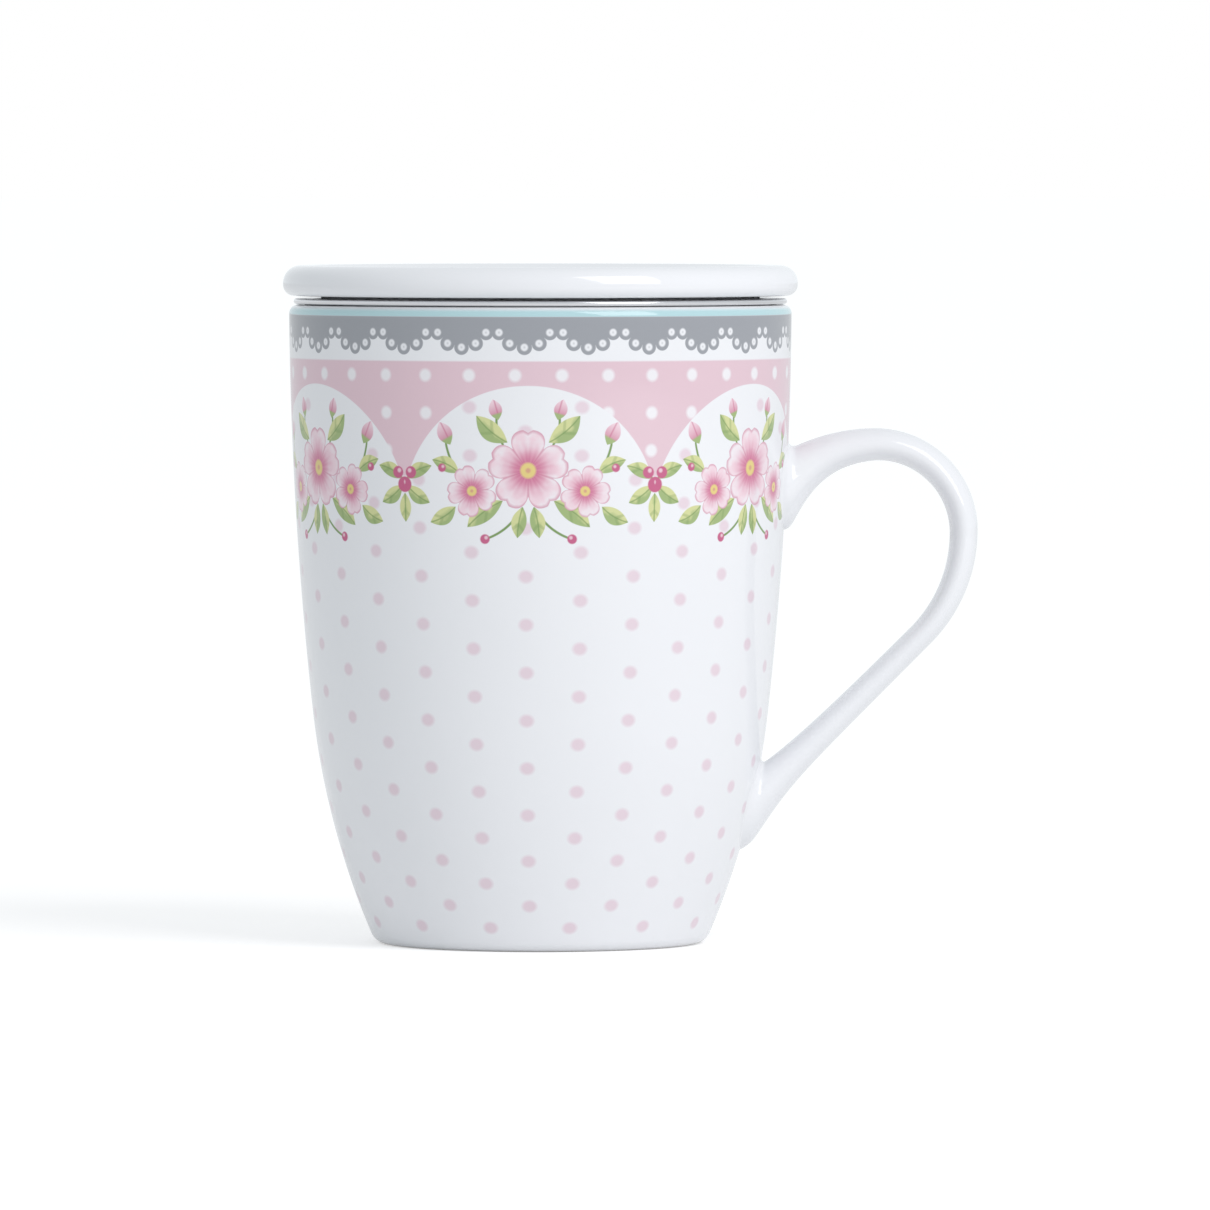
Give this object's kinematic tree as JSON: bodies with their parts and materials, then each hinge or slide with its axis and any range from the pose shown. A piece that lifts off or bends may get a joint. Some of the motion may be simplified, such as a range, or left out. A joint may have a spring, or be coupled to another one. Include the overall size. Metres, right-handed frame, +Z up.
{
  "type": "tea mug",
  "caption": "Tall tapered porcelain mug with a loop handle, a hanging perforated steel tea infuser and a loose round-edged lid with a locating ring.",
  "frame": {"origin": "centre of the foot ring on the table, on the mug's axis", "axes": "+Z up along the mug's axis, +X towards the handle"},
  "size_m": [0.1161, 0.086, 0.1133],
  "materials": {
    "printed_porcelain": "clear gloss glaze over a printed border and dots",
    "white_porcelain": "clear gloss glaze",
    "polished_steel": "polished stainless steel",
    "perforated_steel": "satin perforated stainless steel"
  },
  "bodies": {
    "mug": {"mug_body": "printed_porcelain", "mug_handle": "white_porcelain"},
    "infuser": {"infuser_collar": "polished_steel", "infuser_wall": "perforated_steel", "infuser_base": "perforated_steel"},
    "lid": {"lid": "white_porcelain"}
  },
  "joints": [
    {"name": "infuser_lift", "type": "slide", "parent": "mug", "child": "infuser", "axis": [0, 0, 1], "range_m": [0, 0.09]},
    {"name": "lid_lift", "type": "slide", "parent": "infuser", "child": "lid", "axis": [0, 0, 1], "range_m": [0, 0.045]}
  ]
}
